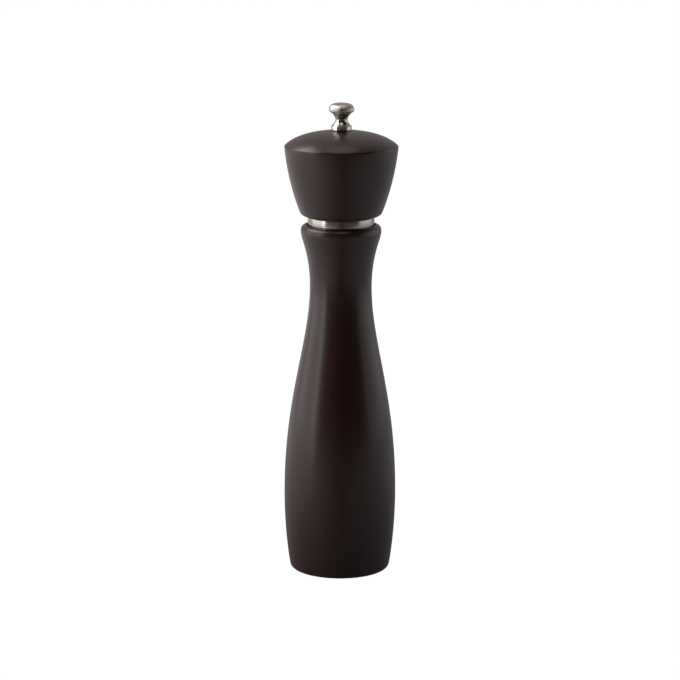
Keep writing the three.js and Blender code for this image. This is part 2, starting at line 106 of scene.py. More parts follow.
def add_camera():
    camera = bpy.data.objects.new("camera", bpy.data.cameras.new("camera"))
    bpy.context.scene.collection.objects.link(camera)
    camera.data.lens = LENS
    camera.data.sensor_width = SENSOR_WIDTH
    camera.data.clip_end = 100
    back = Vector((0, -math.cos(CAMERA_ELEVATION), math.sin(CAMERA_ELEVATION)))
    camera.location = Vector((CAMERA_SIDE, 0, LOOK_HEIGHT)) + back * CAMERA_DISTANCE
    turn = back.to_track_quat("Z", "Y").to_matrix().to_4x4() @ Matrix.Rotation(CAMERA_ROLL, 4, "Z")
    camera.rotation_euler = turn.to_euler()
    bpy.context.scene.camera = camera


def add_softbox(name, azimuth, elevation, distance, width, height, radiance):
    """A rectangular light that faces the mill. Azimuth 0 is the camera's side, positive to the right."""
    light = bpy.data.lights.new(name, "AREA")
    light.shape = "RECTANGLE"
    light.size, light.size_y = width, height
    light.energy = radiance * math.pi * width * height
    lamp = bpy.data.objects.new(name, light)
    a, e = math.radians(azimuth), math.radians(elevation)
    way = Vector((math.sin(a) * math.cos(e), -math.cos(a) * math.cos(e), math.sin(e)))
    lamp.location = Vector((0, 0, LOOK_HEIGHT)) + way * distance
    lamp.rotation_euler = way.to_track_quat("Z", "Y").to_euler()
    lamp.visible_camera = False
    bpy.context.scene.collection.objects.link(lamp)


def set_range(node, from_low, from_high, to_low, to_high):
    """The four ends of a Map Range node."""
    node.inputs["From Min"].default_value = from_low
    node.inputs["From Max"].default_value = from_high
    node.inputs["To Min"].default_value = to_low
    node.inputs["To Max"].default_value = to_high


def add_world():
    """White to the camera. To the mill it is grey behind and dark in front, so its centre reflects dark."""
    world = bpy.data.worlds.new("studio")
    bpy.context.scene.world = world
    world.use_nodes = True
    tree = world.node_tree
    tree.nodes.clear()
    coordinates = tree.nodes.new("ShaderNodeTexCoord")
    split = tree.nodes.new("ShaderNodeSeparateXYZ")
    ramp = tree.nodes.new("ShaderNodeMapRange")
    ramp.interpolation_type = "SMOOTHSTEP"
    set_range(ramp, *WORLD_TURN, WORLD_FRONT, WORLD_BACK)
    light = tree.nodes.new("ShaderNodeBackground")
    white = tree.nodes.new("ShaderNodeBackground")
    ray = tree.nodes.new("ShaderNodeLightPath")
    mix = tree.nodes.new("ShaderNodeMixShader")
    output = tree.nodes.new("ShaderNodeOutputWorld")
    tree.links.new(coordinates.outputs["Generated"], split.inputs[0])
    tree.links.new(split.outputs["Y"], ramp.inputs["Value"])
    tree.links.new(ramp.outputs[0], light.inputs["Strength"])
    tree.links.new(ray.outputs["Is Camera Ray"], mix.inputs[0])
    tree.links.new(light.outputs[0], mix.inputs[1])
    tree.links.new(white.outputs[0], mix.inputs[2])
    tree.links.new(mix.outputs[0], output.inputs[0])
    light.inputs["Color"].default_value = (1, 0.99, 0.97, 1)
    white.inputs["Color"].default_value = (1, 1, 1, 1)


def add_floor():
    """A white floor that stays white to the camera, and lights the mill only a little from below.

    The mill sees it glow on the left, less on the right, and hardly at all in front and far away.
    From underneath it is clear, so that a view from below shows the mill's foot.
    """
    corners = [(x * FLOOR_SIZE, y * FLOOR_SIZE, 0) for x, y in ((-1, -1), (1, -1), (1, 1), (-1, 1))]
    mesh = bpy.data.meshes.new("floor")
    mesh.from_pydata(corners, [], [(0, 1, 2, 3)])
    floor = bpy.data.objects.new("floor", mesh)
    bpy.context.scene.collection.objects.link(floor)
    paper = bpy.data.materials.new("floor_paper")
    paper.use_nodes = True
    tree = paper.node_tree
    tree.nodes.clear()
    surface = tree.nodes.new("ShaderNodeBsdfDiffuse")
    surface.inputs["Color"].default_value = (FLOOR_ALBEDO, FLOOR_ALBEDO, FLOOR_ALBEDO, 1)
    backlight = tree.nodes.new("ShaderNodeEmission")
    coordinates = tree.nodes.new("ShaderNodeTexCoord")
    split = tree.nodes.new("ShaderNodeSeparateXYZ")

    def ramp(axis, start, end, low_value, high_value):
        ranged = tree.nodes.new("ShaderNodeMapRange")
        set_range(ranged, start, end, low_value, high_value)
        tree.links.new(split.outputs[axis], ranged.inputs["Value"])
        return ranged

    def joined(operation, a, b):
        node = tree.nodes.new("ShaderNodeMath")
        node.operation = operation
        tree.links.new(a.outputs[0], node.inputs[0])
        tree.links.new(b.outputs[0], node.inputs[1])
        return node

    left = ramp("X", -FLOOR_GLOW_REACH, 0, FLOOR_GLOW_LEFT, FLOOR_GLOW_CENTRE)
    right = ramp("X", 0, FLOOR_GLOW_REACH, 0, FLOOR_GLOW_RIGHT)
    near = ramp("Y", *FLOOR_GLOW_FADE, FLOOR_GLOW_FAR, 1)
    glow = joined("MULTIPLY", joined("ADD", left, right), near)
    ray = tree.nodes.new("ShaderNodeLightPath")
    level = tree.nodes.new("ShaderNodeMapRange")
    level.inputs["To Max"].default_value = FLOOR_GLOW_SEEN
    both = tree.nodes.new("ShaderNodeAddShader")
    side = tree.nodes.new("ShaderNodeNewGeometry")
    clear = tree.nodes.new("ShaderNodeBsdfTransparent")
    chosen = tree.nodes.new("ShaderNodeMixShader")
    output = tree.nodes.new("ShaderNodeOutputMaterial")
    tree.links.new(coordinates.outputs["Object"], split.inputs[0])
    tree.links.new(glow.outputs[0], level.inputs["To Min"])
    tree.links.new(ray.outputs["Is Camera Ray"], level.inputs["Value"])
    tree.links.new(level.outputs[0], backlight.inputs["Strength"])
    tree.links.new(surface.outputs[0], both.inputs[0])
    tree.links.new(backlight.outputs[0], both.inputs[1])
    tree.links.new(side.outputs["Backfacing"], chosen.inputs[0])
    tree.links.new(both.outputs[0], chosen.inputs[1])
    tree.links.new(clear.outputs[0], chosen.inputs[2])
    tree.links.new(chosen.outputs[0], output.inputs["Surface"])
    mesh.materials.append(paper)


# ---------------------------------------------------------------- outlines, in millimetres

def arc(radius, z, rounding, start, end, steps):
    """Points on an arc about (radius, z), between two angles in degrees."""
    angles = (math.radians(start + (end - start) * i / steps) for i in range(steps + 1))
    return [(radius + rounding * math.cos(a), z + rounding * math.sin(a)) for a in angles]


def sweep(start, start_handle, end_handle, end, steps):
    """Points on a smooth stretch between two points, drawn by two handles."""
    points = []
    for i in range(steps + 1):
        t = i / steps
        weights = ((1 - t) ** 3, 3 * t * (1 - t) ** 2, 3 * t * t * (1 - t), t ** 3)
        corners = (start, start_handle, end_handle, end)
        points.append(tuple(sum(w * c[k] for w, c in zip(weights, corners)) for k in (0, 1)))
    return points


EASE_STEPS = 3


def eased(corners, rounding, steps=EASE_STEPS):
    """A polygon with each corner rounded off."""
    points = []
    for i, here in enumerate(corners):
        here = Vector(here)
        before, after = Vector(corners[i - 1]) - here, Vector(corners[(i + 1) % len(corners)]) - here
        reach = min(rounding, before.length / 3, after.length / 3)
        a, b = here + before.normalized() * reach, here + after.normalized() * reach
        for k in range(steps + 1):
            t = k / steps
            points.append(tuple(a * (1 - t) ** 2 + here * 2 * t * (1 - t) + b * t * t))
    return points


def box_outline(inner, outer, bottom, top, rounding, steps=EASE_STEPS):
    return eased([(inner, bottom), (outer, bottom), (outer, top), (inner, top)], rounding, steps)


def outer_corners(outline, count):
    """The points of a rounded outline's second corner, or of that and the corners after it."""
    each = EASE_STEPS + 1
    return outline[each:(count + 1) * each]


# ---------------------------------------------------------------- meshes

def mesh_from(vertices, faces):
    """A mesh from points in millimetres."""
    mesh = bpy.data.meshes.new("mesh")
    mesh.from_pydata([tuple(c * MM for c in v) for v in vertices], [], faces)
    made = bmesh.new()
    made.from_mesh(mesh)
    bmesh.ops.remove_doubles(made, verts=made.verts, dist=1e-7)
    bmesh.ops.recalc_face_normals(made, faces=made.faces)
    made.to_mesh(mesh)
    made.free()
    return mesh


def turned(outline, facets, shape=None):
    """A closed outline turned about the axis. shape(radius, angle, z) may move each point."""
    outline = [p for i, p in enumerate(outline) if math.dist(p, outline[i - 1]) > 1e-4]
    count = len(outline)
    vertices = []
    for i in range(facets):
        angle = 2 * math.pi * i / facets
        for radius, z in outline:
            r, h = shape(radius, angle, z) if shape else (radius, z)
            vertices.append((r * math.cos(angle), r * math.sin(angle), h))
    faces = []
    for i in range(facets):
        here, after = i * count, ((i + 1) % facets) * count
        for k in range(count):
            n = (k + 1) % count
            faces.append((here + k, after + k, after + n, here + n))
    return mesh_from(vertices, faces)


def lofted(rings):
    """A solid through rings of points, with its two ends capped."""
    count, last = len(rings[0]), len(rings) - 1
    faces = []
    for row in range(last):
        here, above = row * count, (row + 1) * count
        for i in range(count):
            n = (i + 1) % count
            faces.append((here + i, here + n, above + n, above + i))
    faces += [tuple(range(count))[::-1], tuple(last * count + i for i in range(count))]
    return mesh_from([p for ring in rings for p in ring], faces)


def prism(section, bottom, top):
    return lofted([[(x, y, z) for x, y in section] for z in (bottom, top)])


def circle(radius, facets, x, y):
    angles = (2 * math.pi * i / facets for i in range(facets))
    return [(x + radius * math.cos(a), y + radius * math.sin(a)) for a in angles]


def rectangle(width, depth):
    x, y = width / 2, depth / 2
    return [(-x, -y), (x, -y), (x, y), (-x, y)]


def moved(mesh, x=0, y=0, z=0, turn=0):
    mesh.transform(Matrix.Translation((x * MM, y * MM, z * MM)) @ Matrix.Rotation(turn, 4, "Z"))
    return mesh


def combined(base, tools, operation):
    """base cut by or joined with other meshes."""
    thing = bpy.data.objects.new("base", base)
    helpers = []
    bpy.context.scene.collection.objects.link(thing)
    for tool in tools:
        helper = bpy.data.objects.new("tool", tool)
        bpy.context.scene.collection.objects.link(helper)
        helpers.append(helper)
        change = thing.modifiers.new("combine", "BOOLEAN")
        change.operation = operation
        change.solver = "EXACT"
        change.object = helper
    result = bpy.data.meshes.new_from_object(thing.evaluated_get(bpy.context.evaluated_depsgraph_get()))
    for o in (thing, *helpers):
        bpy.data.objects.remove(o)
    return result


def piece(name, node, mesh, material, sharp=35):
    """A finished piece: it stands for a CAD node, and moves and is finished as that node is."""
    made = bmesh.new()
    made.from_mesh(mesh)
    for face in made.faces:
        face.smooth = True
    for edge in made.edges:
        edge.smooth = len(edge.link_faces) == 2 and edge.calc_face_angle(0) < math.radians(sharp)
    made.to_mesh(mesh)
    made.free()
    mesh.name = name
    mesh.materials.clear()
    mesh.materials.append(material)
    thing = bpy.data.objects.new(name, mesh)
    bpy.context.scene.collection.objects.link(thing)
    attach(thing, BODY_OF[node])
    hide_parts(node)
    return thing


# ---------------------------------------------------------------- materials

def shader_tree(name):
    material = bpy.data.materials.new(name)
    material.use_nodes = True
    return material, material.node_tree, material.node_tree.nodes["Principled BSDF"]


def stretched(tree, scale, offset=(0, 0, 0)):
    """Object coordinates, scaled along each axis."""
    coordinates = tree.nodes.new("ShaderNodeTexCoord")
    mapping = tree.nodes.new("ShaderNodeMapping")
    mapping.inputs["Scale"].default_value = scale
    mapping.inputs["Location"].default_value = offset
    tree.links.new(coordinates.outputs["Object"], mapping.inputs["Vector"])
    return mapping.outputs[0]


def noise(tree, vector, scale, detail=3, roughness=0.5, distortion=0):
    node = tree.nodes.new("ShaderNodeTexNoise")
    node.inputs["Scale"].default_value = scale
    node.inputs["Detail"].default_value = detail
    node.inputs["Roughness"].default_value = roughness
    node.inputs["Distortion"].default_value = distortion
    tree.links.new(vector, node.inputs["Vector"])
    return node.outputs["Fac"]


def spread(tree, value, low_value, high_value, from_low=0.3, from_high=0.7):
    """A pattern's middle range, spread between two values."""
    node = tree.nodes.new("ShaderNodeMapRange")
    set_range(node, from_low, from_high, low_value, high_value)
    tree.links.new(value, node.inputs["Value"])
    return node.outputs[0]


# The colour sockets of a Mix node, which its other kinds share names with.
MIX_COLOUR_A = 6
MIX_COLOUR_B = 7
MIX_COLOUR_RESULT = 2


def mixed(tree, factor, first, second):
    """Two colours mixed by a pattern. Each may be a colour or a pattern's output."""
    node = tree.nodes.new("ShaderNodeMix")
    node.data_type = "RGBA"
    tree.links.new(factor, node.inputs["Factor"])
    for socket, colour in ((MIX_COLOUR_A, first), (MIX_COLOUR_B, second)):
        if isinstance(colour, tuple):
            node.inputs[socket].default_value = (*colour, 1)
        else:
            tree.links.new(colour, node.inputs[socket])
    return node.outputs[MIX_COLOUR_RESULT]


def bumped(tree, shader, height, distance, strength=1.0, over=None):
    node = tree.nodes.new("ShaderNodeBump")
    node.inputs["Strength"].default_value = strength
    node.inputs["Distance"].default_value = distance
    tree.links.new(height, node.inputs["Height"])
    if over is not None:
        tree.links.new(over, node.inputs["Normal"])
    tree.links.new(node.outputs[0], shader.inputs["Normal"])
    return node.outputs[0]


STAIN_DARK = (0.027, 0.0062, 0.0056)
STAIN_LIGHT = (0.042, 0.0098, 0.0088)
FIBRE_COLOUR = (0.055, 0.0165, 0.0145)
PORE_DEPTH = 0.000012
FIGURE_DEPTH = 0.00012


def wood(name, offset):
    """Close-grained wood under a dark stain and satin lacquer: faint fibres and pores along the axis."""
    material, tree, shader = shader_tree(name)
    fibres = noise(tree, stretched(tree, (1, 1, 0.035), offset), 1500, detail=4, roughness=0.6)
    figure = noise(tree, stretched(tree, (1, 1, 0.12), offset), 95, roughness=0.55, distortion=1.2)
    pores = noise(tree, stretched(tree, (1, 1, 0.07), offset), 3600, detail=2)
    stain = mixed(tree, spread(tree, figure, 0, 1), STAIN_DARK, STAIN_LIGHT)
    grain = mixed(tree, spread(tree, fibres, 0, 0.55), stain, FIBRE_COLOUR)
    tree.links.new(grain, shader.inputs["Base Color"])
    tree.links.new(spread(tree, fibres, 0.36, 0.44), shader.inputs["Roughness"])
    shader.inputs["Coat Weight"].default_value = 0.75
    shader.inputs["Coat Roughness"].default_value = 0.27
    shader.inputs["Coat IOR"].default_value = 1.55
    shader.inputs["Specular IOR Level"].default_value = 0.3
    open_pores = spread(tree, pores, 0, 1, from_low=0.25, from_high=0.4)
    below = bumped(tree, shader, open_pores, PORE_DEPTH, strength=0.35)
    bumped(tree, shader, figure, FIGURE_DEPTH, strength=0.2, over=below)
    return material


# How a pattern is stretched: not at all, into lines around the axis, or into lines along it.
EVEN = (1, 1, 1)
RINGWISE = (1, 1, 60)
FAINT_RINGS = (1, 1, 6)
LENGTHWISE = (1, 1, 0.01)

METAL_SHADE = 0.82
PLASTIC_SHADE = 0.88


def metal(name, colour, dull, shiny, scale, size, bump, worn=None):
    """A metal whose brightness, roughness and surface follow one pattern, stretched by scale.

    worn is the colour of its duller patches.
    """
    material, tree, shader = shader_tree(name)
    lines = noise(tree, stretched(tree, scale), size, roughness=0.6)
    patches = noise(tree, stretched(tree, EVEN), 140, roughness=0.6)
    darker = tuple(c * METAL_SHADE for c in colour)
    tone = mixed(tree, spread(tree, lines, 0, 1), darker, colour)
    wear = spread(tree, patches, 0, 0.5, from_low=0.45, from_high=0.75)
    tone = mixed(tree, wear, tone, worn or darker)
    tree.links.new(tone, shader.inputs["Base Color"])
    tree.links.new(spread(tree, lines, shiny, dull), shader.inputs["Roughness"])
    shader.inputs["Metallic"].default_value = 1
    bumped(tree, shader, lines, bump)
    return material


def plastic(name, colour):
    material, tree, shader = shader_tree(name)
    cloud = noise(tree, stretched(tree, EVEN), 260)
    grit = noise(tree, stretched(tree, EVEN), 4200, detail=2)
    tone = mixed(tree, spread(tree, cloud, 0, 1), colour, tuple(c * PLASTIC_SHADE for c in colour))
    tree.links.new(tone, shader.inputs["Base Color"])
    tree.links.new(spread(tree, cloud, 0.38, 0.5), shader.inputs["Roughness"])
    shader.inputs["Subsurface Weight"].default_value = 0.15
    shader.inputs["Subsurface Scale"].default_value = 0.001
    bumped(tree, shader, grit, 0.00002)
    return material


BODY_WOOD = wood("body_wood", (0, 0, 0))
HEAD_WOOD = wood("head_wood", (0.31, 0.17, 0.05))
RING_STEEL = metal("ring_steel", (0.64, 0.57, 0.51), 0.23, 0.15, RINGWISE, 160, 0.000002, (0.6, 0.53, 0.47))
NICKEL = metal("nickel", (0.89, 0.82, 0.73), 0.14, 0.08, FAINT_RINGS, 320, 0.0000015, (0.74, 0.67, 0.58))
ZINC = metal("zinc_plate", (0.6, 0.61, 0.63), 0.45, 0.3, EVEN, 900, 0.000008, (0.5, 0.5, 0.46))
BURR_STEEL = metal("burr_steel", (0.27, 0.26, 0.25), 0.5, 0.34, EVEN, 1700, 0.00002, (0.2, 0.16, 0.12))
CAST_ALUMINIUM = metal("cast_aluminium", (0.5, 0.51, 0.52), 0.6, 0.45, EVEN, 2200, 0.00004)
SHAFT_ALUMINIUM = metal("shaft_aluminium", (0.68, 0.69, 0.7), 0.36, 0.24, LENGTHWISE, 2400, 0.000006)
SPRING_STEEL = metal("spring_steel", (0.42, 0.42, 0.43), 0.32, 0.2, EVEN, 1500, 0.000006)
ACETAL = plastic("acetal", (0.78, 0.75, 0.69))

# ---------------------------------------------------------------- wooden pieces

WOOD_FACETS = 192
FOOT_HANDLE = (27.7, 5.2)
BELLY_LOW_HANDLE_Z = 22
BELLY_Z = 42
BELLY_HIGH_HANDLE_Z = 96
NECK_LOW_HANDLE_Z = 124.8
NECK = (16.57, 155.5)
NECK_HIGH_HANDLE_Z = 174.3
LIP_HANDLE = (21.9, 181.8)
LIP = (21.5, 186.2)
LIP_ROUNDING = 3
LIP_INNER_ROUNDING = 0.3
GROOVE_RADIUS = 18.4
GROOVE_Z = 187.2
SPIGOT_RADIUS = 16.5
CHAMBER_RADIUS = 12.5
MECHANISM_BORE = (16.6, 38.5)
RECESS = (22, 10.9)
RECESS_ROUNDING = 0.4
BORE_ROUNDING = 0.25
FOOT_ROUNDING = 2.6
FOOT_RADIUS = 24.46


def body_mesh():
    belly = high("mill_body").x
    spigot_top = high("mill_body").z
    foot = arc(FOOT_RADIUS, FOOT_ROUNDING, FOOT_ROUNDING, -90, -12, 10)
    widest = (belly, BELLY_Z)
    groove_edge = (GROOVE_RADIUS + LIP_INNER_ROUNDING, LIP[1] + LIP_ROUNDING - LIP_INNER_ROUNDING)
    outer = (
        arc(RECESS[0] + RECESS_ROUNDING, RECESS_ROUNDING, RECESS_ROUNDING, 180, 270, 4)
        + foot
        + sweep(foot[-1], FOOT_HANDLE, (belly, BELLY_LOW_HANDLE_Z), widest, 36)[1:]
        + sweep(widest, (belly, BELLY_HIGH_HANDLE_Z), (NECK[0], NECK_LOW_HANDLE_Z), NECK, 80)[1:]
        + sweep(NECK, (NECK[0], NECK_HIGH_HANDLE_Z), LIP_HANDLE, LIP, 40)[1:]
        + arc(LIP[0] - LIP_ROUNDING, LIP[1], LIP_ROUNDING, 0, 90, 12)[1:]
        + arc(*groove_edge, LIP_INNER_ROUNDING, 90, 180, 4)
    )
    inner = eased(
        [
            (GROOVE_RADIUS, GROOVE_Z),
            (SPIGOT_RADIUS, GROOVE_Z),
            (SPIGOT_RADIUS, spigot_top),
            (CHAMBER_RADIUS, spigot_top),
            (CHAMBER_RADIUS, MECHANISM_BORE[1]),
            (MECHANISM_BORE[0], MECHANISM_BORE[1]),
            (MECHANISM_BORE[0], RECESS[1]),
            (RECESS[0], RECESS[1]),
        ],
        BORE_ROUNDING,
    )
    return turned(outer + inner, WOOD_FACETS)


RIM_ROUNDING = 1.2
RIM_CENTRE_Z = 230.7
RIM_ANGLES = (-5, 48)
DOME_RIM_HANDLE = 8
DOME_TOP_HANDLE = (14, 238.65)
KNOB_SEAT = (6.2, 239.11)
HEAD_BOTTOM = (19.03, 194)
HEAD_BOTTOM_ROUNDING = 3.3
HEAD_BOTTOM_END_ANGLE = -21.4
FLARE_LOW_HANDLE = (27.5, 210)
FLARE_HIGH_HANDLE = (29.65, 223.5)
TENON_RADIUS = 12
TENON_ROUNDING = 0.5
HEAD_BORE_RADIUS = 4.7
HEAD_TOP_BORE = (3.2, 232)


def head_mesh():
    rim_radius = high("mill_head").x
    bottom_z = low("mill_head").z
    under_centre = (HEAD_BOTTOM[0], HEAD_BOTTOM[1] + HEAD_BOTTOM_ROUNDING)
    under = arc(*under_centre, HEAD_BOTTOM_ROUNDING, -90, HEAD_BOTTOM_END_ANGLE, 14)
    rim = arc(rim_radius - RIM_ROUNDING, RIM_CENTRE_Z, RIM_ROUNDING, *RIM_ANGLES, 14)
    rim_end_angle = math.radians(RIM_ANGLES[1])
    dome_handle = (
        rim[-1][0] - DOME_RIM_HANDLE * math.sin(rim_end_angle),
        rim[-1][1] + DOME_RIM_HANDLE * math.cos(rim_end_angle),
    )
    dome = sweep(rim[-1], dome_handle, DOME_TOP_HANDLE, KNOB_SEAT, 48)
    tenon = [(HEAD_BORE_RADIUS, bottom_z), (TENON_RADIUS, bottom_z), (TENON_RADIUS, HEAD_BOTTOM[1])]
    outline = (
        outer_corners(eased(tenon, TENON_ROUNDING), 1)
        + [(TENON_RADIUS, HEAD_BOTTOM[1])]
        + under
        + sweep(under[-1], FLARE_LOW_HANDLE, FLARE_HIGH_HANDLE, rim[0], 50)[1:]
        + rim[1:]
        + dome[1:]
        + [(HEAD_TOP_BORE[0], KNOB_SEAT[1]), HEAD_TOP_BORE]
        + [(HEAD_BORE_RADIUS, HEAD_TOP_BORE[1]), (HEAD_BORE_RADIUS, bottom_z)]
    )
    return turned(outline, WOOD_FACETS)


# ---------------------------------------------------------------- ring and knob

RING_WALL = 0.9
RING_HOLE_RADIUS = 12.7
RING_SHOULDER = 0.45
RING_EDGE = 0.15
RING_FACETS = 160


def ring_mesh():
    outer, top, bottom = high("collar_ring").x, high("collar_ring").z, low("collar_ring").z
    inner, inner_top = outer - RING_WALL, top - RING_WALL
    outline = (
        arc(outer - RING_EDGE, bottom + RING_EDGE, RING_EDGE, -90, 0, 4)
        + arc(outer - RING_SHOULDER, top - RING_SHOULDER, RING_SHOULDER, 0, 90, 8)
        + arc(RING_HOLE_RADIUS + RING_EDGE, top - RING_EDGE, RING_EDGE, 90, 180, 4)
        + arc(RING_HOLE_RADIUS + RING_EDGE, inner_top + RING_EDGE, RING_EDGE, 180, 270, 4)
        + [(inner, inner_top), (inner, bottom)]
    )
    return turned(outline, RING_FACETS)


KNURL_COUNT = 52
KNURL_PITCH = 0.82
KNURL_DEPTH = 0.12
KNURL_STEPS = 10
KNURL_BAND = (249.1, 252.9)
KNURL_FADE = 0.5
KNURL_INNER_RADIUS = 4.5
GROOVE_STEEPNESS = 1.6


def knurl(radius, angle, z):
    """Small pyramids between two sets of crossing grooves, around the knob's rim."""
    bottom, top = KNURL_BAND
    into_band = min(z - bottom, top - z) + KNURL_FADE
    if radius < KNURL_INNER_RADIUS or into_band < 0:
        return radius, z
    fade = min(1, into_band / KNURL_FADE)
    around = angle * KNURL_COUNT / (2 * math.pi)
    along = (z - bottom) / KNURL_PITCH
    ridges = [abs(((around + side * along) % 1) - 0.5) * 2 for side in (-1, 1)]
    groove = 1 - min(1, GROOVE_STEEPNESS * min(ridges))
    return radius - KNURL_DEPTH * fade * groove, z


KNOB_BORE = (2.7, 250.6)
KNOB_BORE_CHAMFER = 0.3
KNOB_COLLAR_RADIUS = 5.45
KNOB_COLLAR_EDGE = 0.15
KNOB_SHOULDER_Z = 241.75
KNOB_SHOULDER_ROUNDING = 0.25
KNOB_CONE_START = (4.75, 242.45)
KNOB_CONE_HANDLE = (3.9, 243.4)
KNOB_WAIST = (3.3, 245.2)
KNOB_WAIST_HANDLE_Z = 244.2
KNOB_CUP_LOW_HANDLE = (3.5, 246.9)
KNOB_CUP_HIGH_HANDLE = (4.5, 248)
KNOB_RIM_BOTTOM = (5.35, 248.95)
KNOB_RIM_LOW_HANDLE = (7.35, 249.15)
KNOB_RIM_HIGH_HANDLE = (7.6, 252.5)
KNOB_RIM_TOP = (4.2, 253.65)
KNOB_CROWN_LOW_HANDLE = (3.2, 253.96)
KNOB_CROWN_HIGH_RADIUS = 1.4


def knob_mesh():
    seat, top = low("adjusting_knob").z, high("adjusting_knob").z
    bore = KNOB_BORE[0]
    collar_edge = (KNOB_COLLAR_RADIUS - KNOB_COLLAR_EDGE, seat + KNOB_COLLAR_EDGE)
    shoulder = (KNOB_COLLAR_RADIUS - KNOB_SHOULDER_ROUNDING, KNOB_SHOULDER_Z)
    waist_handle = (KNOB_WAIST[0], KNOB_WAIST_HANDLE_Z)
    crown_handle = (KNOB_CROWN_HIGH_RADIUS, top)
    outline = (
        [(0, KNOB_BORE[1]), KNOB_BORE, (bore, seat + KNOB_BORE_CHAMFER), (bore + KNOB_BORE_CHAMFER, seat)]
        + arc(*collar_edge, KNOB_COLLAR_EDGE, -90, 0, 4)
        + arc(*shoulder, KNOB_SHOULDER_ROUNDING, 0, 50, 5)
        + sweep(KNOB_CONE_START, KNOB_CONE_HANDLE, waist_handle, KNOB_WAIST, 24)
        + sweep(KNOB_WAIST, KNOB_CUP_LOW_HANDLE, KNOB_CUP_HIGH_HANDLE, KNOB_RIM_BOTTOM, 24)[1:]
        + sweep(KNOB_RIM_BOTTOM, KNOB_RIM_LOW_HANDLE, KNOB_RIM_HIGH_HANDLE, KNOB_RIM_TOP, 56)[1:]
        + sweep(KNOB_RIM_TOP, KNOB_CROWN_LOW_HANDLE, crown_handle, (0, top), 14)[1:]
    )
    return turned(outline, KNURL_COUNT * KNURL_STEPS, knurl)


# ---------------------------------------------------------------- shaft, drive plate and screws

SHAFT_WIDTH = 6
SHAFT_CHAMFER = 0.5
SHAFT_SQUARE = (9.2, 228)
SHAFT_END_SCALE = 0.93
SHAFT_END_TAPERS = (0.3, 0.6)
THREAD_RADIUS = 2.4
THREAD_PITCH = 0.8
THREAD_DEPTH = 0.42
THREAD_SHARPNESS = 1.25
THREAD_ROOT_FLAT = 0.1
THREAD_STEPS = 8
THREAD_END = 0.5
# Insets and drops of the two points that chamfer the shaft's top.
SHAFT_TIP = ((0.1, 0.2), (0.4, 0))
PIN_RADIUS = 2.7
PIN_GROOVE_RADIUS = 2.1
PIN_CHAMFER = 0.5
PIN_GROOVE_PLAY = 0.1
SQUARE_HOLE = 6.5
DRIVE_PLATE_EDGE = 3
DRIVE_SCREW_RING = 7.9
# How far a cutting tool reaches past the piece, and how far the shaft's round ends reach into its square.
CUT_PAST = 1
JOIN_OVERLAP = 1
SCREWS_IN_SET = 3
SCREW_HOLE_RADIUS = 1.5
# Radius and height.
SCREW_HEAD = (2.3, 1.4)
SCREW_CROWN_ROUNDING = 1.25
SCREW_HEAD_EDGE = 0.1
SCREW_SHANK = 1.3
SCREW_THREAD_DEPTH = 0.4
SCREW_THREAD_START = 1
SCREW_THREAD_END = 0.4
SCREW_LENGTH = 9
SCREW_PITCH = 1.1
SCREW_POINT_LENGTH = 2.6
SCREW_TIP_RADIUS = 0.02
SCREW_THREAD_SHARPNESS = 1.8
SLOT_WIDTH = 0.6
SLOT_DEPTH_SHARE = 0.4


def threaded(root, depth, pitch, ends):
    """A shape for turned(): a vee thread that rises around the axis between two heights."""
    def shape(radius, angle, z):
        if not ends[0] <= z <= ends[1] or radius < root:
            return radius, z
        phase = (z / pitch - angle / (2 * math.pi)) % 1
        crest = 1 - abs(2 * phase - 1)
        runout = min(1, (z - ends[0]) / pitch, (ends[1] - z) / pitch)
        return root + depth * max(0, min(1, THREAD_SHARPNESS * crest - THREAD_ROOT_FLAT)) * runout, z
    return shape


def thread_line(radius, bottom, top, pitch):
    """The points of a thread's side, close enough together to draw its vees."""
    count = round((top - bottom) / pitch * THREAD_STEPS)
    return [(radius, bottom + (top - bottom) * i / count) for i in range(count + 1)]


def chamfered_square(width, chamfer):
    half = width / 2
    flat = half - chamfer
    corners = ((half, -flat), (half, flat), (flat, half), (-flat, half))
    return list(corners) + [(-x, -y) for x, y in corners]


def shaft_mesh():
    bottom, top = low("drive_shaft").z, high("drive_shaft").z
    square_bottom, square_top = SHAFT_SQUARE
    section = chamfered_square(SHAFT_WIDTH, SHAFT_CHAMFER)
    trimmed = [(x * SHAFT_END_SCALE, y * SHAFT_END_SCALE) for x, y in section]
    levels = (
        (square_bottom, trimmed),
        (square_bottom + SHAFT_END_TAPERS[0], section),
        (square_top - SHAFT_END_TAPERS[1], section),
        (square_top, trimmed),
    )
    square = lofted([[(x, y, z) for x, y in outline] for z, outline in levels])
    root = THREAD_RADIUS - THREAD_DEPTH
    thread_ends = (square_top - JOIN_OVERLAP, top - THREAD_END)
    threaded_end = turned(
        [(0, thread_ends[0])]
        + thread_line(root, *thread_ends, THREAD_PITCH)
        + [(root - inset, top - drop) for inset, drop in SHAFT_TIP]
        + [(0, top)],
        40,
        threaded(root - 0.01, THREAD_DEPTH, THREAD_PITCH, thread_ends),
    )
    groove_bottom = low("rotor_clip").z - PIN_GROOVE_PLAY
    groove_top = high("rotor_clip").z + PIN_GROOVE_PLAY
    pin = turned(
        [(0, bottom), (PIN_RADIUS - PIN_CHAMFER, bottom)]
        + eased([(PIN_RADIUS - PIN_CHAMFER, bottom), (PIN_RADIUS, bottom + PIN_CHAMFER)], 0.1)
        + [(PIN_RADIUS, groove_bottom), (PIN_GROOVE_RADIUS, groove_bottom)]
        + [(PIN_GROOVE_RADIUS, groove_top), (PIN_RADIUS, groove_top)]
        + [(PIN_RADIUS, square_bottom + JOIN_OVERLAP), (0, square_bottom + JOIN_OVERLAP)],
        64,
    )
    return combined(square, [threaded_end, pin], "UNION")


